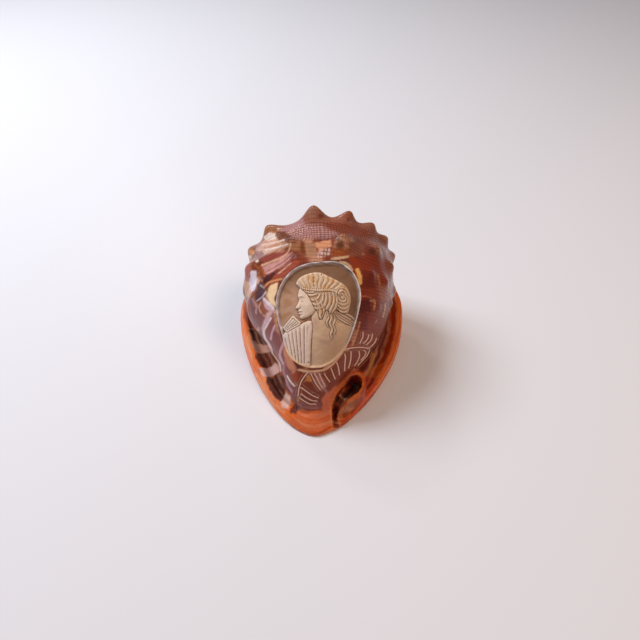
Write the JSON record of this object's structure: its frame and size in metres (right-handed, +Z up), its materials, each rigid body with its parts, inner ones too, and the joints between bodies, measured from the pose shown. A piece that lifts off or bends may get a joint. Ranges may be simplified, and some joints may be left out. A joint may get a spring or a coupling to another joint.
{
  "type": "carved helmet shell",
  "caption": "Large helmet sea shell lying on its mouth, with knobbed shoulders, a thick turned lip, a spout at the front and an oval cameo carved on its back.",
  "frame": {"origin": "under the middle of the shell, on the surface it lies on", "axes": "+X to the shell's right as seen from its front end, +Y from the front spout towards the spire, +Z up"},
  "size_m": [0.1238, 0.1482, 0.0938],
  "materials": {
    "shell": "polished natural shell, brown and purple over cream, with bright orange lips"
  },
  "bodies": {
    "root": {"helmet_shell": "shell"}
  },
  "joints": []
}
